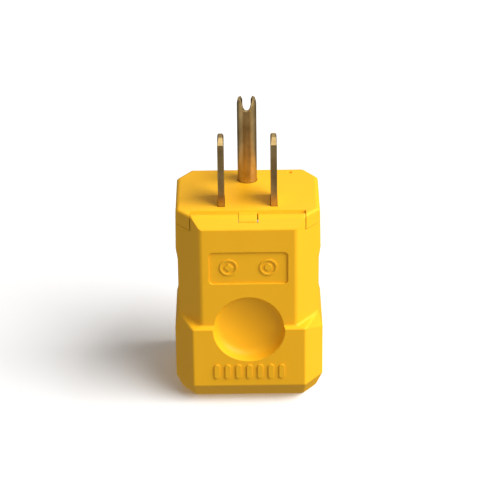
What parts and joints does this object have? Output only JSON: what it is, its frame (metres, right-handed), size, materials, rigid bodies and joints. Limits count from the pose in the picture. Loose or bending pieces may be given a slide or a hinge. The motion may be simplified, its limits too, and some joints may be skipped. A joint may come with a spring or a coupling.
{
  "type": "rewirable grounding plug",
  "caption": "Rewirable grounding plug: an octagonal body that opens like a jaw, flat blades, a round ground pin, screw terminals inside and a cord clamp at the far end.",
  "frame": {"origin": "on the dead-front face, midway between the flat blades", "axes": "+X towards the line blade, +Y towards the ground pin and the fixed rear shell, +Z out of the dead front along the blades"},
  "size_m": [0.0362, 0.0319, 0.0716],
  "materials": {
    "shell_yellow": "semi-gloss moulded nylon",
    "insulator_black": "matt moulded thermoset",
    "brass": "stamped and rolled brass, slightly tarnished",
    "brass_screw": "bright brass",
    "silver_screw": "nickel plated",
    "green_screw": "green dyed plating",
    "steel": "zinc plated",
    "nylon_white": "natural nylon"
  },
  "bodies": {
    "fixed_body": {"rear_shell": "shell_yellow", "face_plate": "shell_yellow", "terminal_block": "insulator_black", "block_screws": "steel", "hinge_pin": "steel", "neutral_blade": "brass", "line_blade": "brass", "ground_pin": "brass", "rear_cord_jaw": "insulator_black", "screw_retainers": "nylon_white"},
    "front_cover": {"front_cover": "shell_yellow", "front_cord_jaw": "insulator_black", "cover_nuts": "steel"},
    "left_screw_washer": {"left_screw_washer": "steel"},
    "left_assembly_screw": {"left_assembly_screw": "steel"},
    "right_screw_washer": {"right_screw_washer": "steel"},
    "right_assembly_screw": {"right_assembly_screw": "steel"},
    "neutral_terminal_screw": {"neutral_terminal_screw": "silver_screw"},
    "neutral_clamp_plate": {"neutral_clamp_plate": "brass"},
    "line_terminal_screw": {"line_terminal_screw": "brass_screw"},
    "line_clamp_plate": {"line_clamp_plate": "brass"},
    "ground_terminal_screw": {"ground_terminal_screw": "green_screw"},
    "ground_clamp_plate": {"ground_clamp_plate": "brass"}
  },
  "joints": [
    {"name": "cover_hinge", "type": "hinge", "parent": "fixed_body", "child": "front_cover", "pos_m": [0, -0.0075, -0.0021], "axis": [-1, 0, 0], "range_deg": [0, 100]},
    {"name": "left_screw_back_out", "type": "slide", "parent": "fixed_body", "child": "left_screw_washer", "axis": [0, 1, 0], "range_m": [0, 0.00317]},
    {"name": "left_screw_turn", "type": "hinge", "parent": "left_screw_washer", "child": "left_assembly_screw", "pos_m": [-0.0116, 0.017, -0.0385], "axis": [0, 1, 0], "range_deg": [0, 1440]},
    {"name": "right_screw_back_out", "type": "slide", "parent": "fixed_body", "child": "right_screw_washer", "axis": [0, 1, 0], "range_m": [0, 0.00317]},
    {"name": "right_screw_turn", "type": "hinge", "parent": "right_screw_washer", "child": "right_assembly_screw", "pos_m": [0.0116, 0.017, -0.0385], "axis": [0, 1, 0], "range_deg": [0, 1440]},
    {"name": "neutral_screw_turn", "type": "hinge", "parent": "fixed_body", "child": "neutral_terminal_screw", "pos_m": [-0.0101, 0.0016, -0.0132], "axis": [0, 1, 0], "range_deg": [0, 1080]},
    {"name": "neutral_clamp_slide", "type": "slide", "parent": "fixed_body", "child": "neutral_clamp_plate", "axis": [0, -1, 0], "range_m": [0, 0.00238]},
    {"name": "line_screw_turn", "type": "hinge", "parent": "fixed_body", "child": "line_terminal_screw", "pos_m": [0.0101, 0.0016, -0.0132], "axis": [0, 1, 0], "range_deg": [0, 1080]},
    {"name": "line_clamp_slide", "type": "slide", "parent": "fixed_body", "child": "line_clamp_plate", "axis": [0, -1, 0], "range_m": [0, 0.00238]},
    {"name": "ground_screw_turn", "type": "hinge", "parent": "fixed_body", "child": "ground_terminal_screw", "pos_m": [0, 0.0074, -0.0145], "axis": [0, 1, 0], "range_deg": [0, 1080]},
    {"name": "ground_clamp_slide", "type": "slide", "parent": "fixed_body", "child": "ground_clamp_plate", "axis": [0, -1, 0], "range_m": [0, 0.00238]}
  ],
  "couplings": [
    {"joint": "left_screw_turn", "follows": "left_screw_back_out", "rad_per_m": 7915.8},
    {"joint": "right_screw_turn", "follows": "right_screw_back_out", "rad_per_m": 7915.8},
    {"joint": "neutral_screw_turn", "follows": "neutral_clamp_slide", "rad_per_m": 7915.8},
    {"joint": "line_screw_turn", "follows": "line_clamp_slide", "rad_per_m": 7915.8},
    {"joint": "ground_screw_turn", "follows": "ground_clamp_slide", "rad_per_m": 7915.8}
  ]
}
